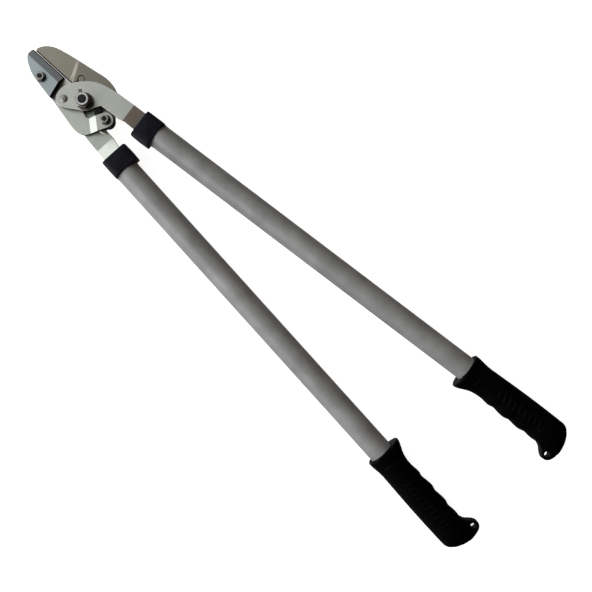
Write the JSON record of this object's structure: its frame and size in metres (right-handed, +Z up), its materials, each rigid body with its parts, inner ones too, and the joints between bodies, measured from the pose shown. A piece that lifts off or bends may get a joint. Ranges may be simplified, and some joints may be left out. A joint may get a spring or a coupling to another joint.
{
  "type": "cable cutter",
  "caption": "Long-handled compound-action anvil cutter: a curved plate blade closes on a wedge anvil, worked by two tubular handles with moulded grips.",
  "frame": {"origin": "centre of the footprint, on the surface that the tool lies on", "axes": "+X from the jaws to the grips, halfway between the handles; +Y towards the handle that turns on the main bolt; +Z up, out of the face with the lock nuts"},
  "size_m": [0.7888, 0.2046, 0.0408],
  "materials": {
    "forged_steel": "satin forged and nickel-plated",
    "blade_steel": "ground and polished",
    "anvil_steel": "machined, bluish grey",
    "fastener_steel": "zinc plated",
    "black_steel": "black oxide",
    "nylon": "natural nylon",
    "tube_finish": "satin silver-grey",
    "collar_plastic": "moulded, black with a violet cast",
    "grip_plastic": "soft moulded black",
    "rubber": "matt",
    "plug_plastic": "moulded"
  },
  "bodies": {
    "lower_handle": {"blade": "blade_steel", "blade_drive_pin": "blade_steel", "blade_rivet": "fastener_steel", "main_bolt": "black_steel", "main_washer_bottom": "fastener_steel", "main_washer_top": "fastener_steel", "main_locknut": "fastener_steel", "main_locknut_insert": "nylon", "pivot_bush": "fastener_steel", "jaw_spacer": "black_steel", "jaw_bolt": "black_steel", "jaw_washer": "fastener_steel", "jaw_locknut": "fastener_steel", "jaw_locknut_insert": "nylon", "stop_buffer": "rubber", "lower_handle_plate": "forged_steel", "lower_collar": "collar_plastic", "lower_tube": "tube_finish", "lower_tang_plug": "plug_plastic", "lower_cross_pin": "fastener_steel", "lower_tube_end_plug": "plug_plastic", "lower_grip": "grip_plastic"},
    "upper_handle": {"upper_handle_plate": "forged_steel", "slide_rivet": "forged_steel", "slide_washer": "fastener_steel", "lock_pin": "fastener_steel", "upper_collar": "collar_plastic", "upper_tube": "tube_finish", "upper_tang_plug": "plug_plastic", "upper_cross_pin": "fastener_steel", "upper_tube_end_plug": "plug_plastic", "upper_grip": "grip_plastic"},
    "anvil_jaw": {"anvil_jaw_plate": "forged_steel", "anvil": "anvil_steel", "anvil_bolt": "black_steel", "anvil_washer": "fastener_steel", "anvil_locknut": "fastener_steel", "anvil_locknut_insert": "nylon"}
  },
  "joints": [
    {"name": "handle_pivot", "type": "hinge", "parent": "lower_handle", "child": "upper_handle", "pos_m": [-0.30442, -0.00152, 0.02], "axis": [0, 0, 1], "range_deg": [0, 45]},
    {"name": "jaw_pivot", "type": "hinge", "parent": "lower_handle", "child": "anvil_jaw", "pos_m": [-0.27242, -0.00102, 0.02], "axis": [0, 0, 1], "range_deg": [0, 19]}
  ],
  "couplings": [
    {"joint": "jaw_pivot", "follows": "handle_pivot", "ratio": 0.42}
  ]
}
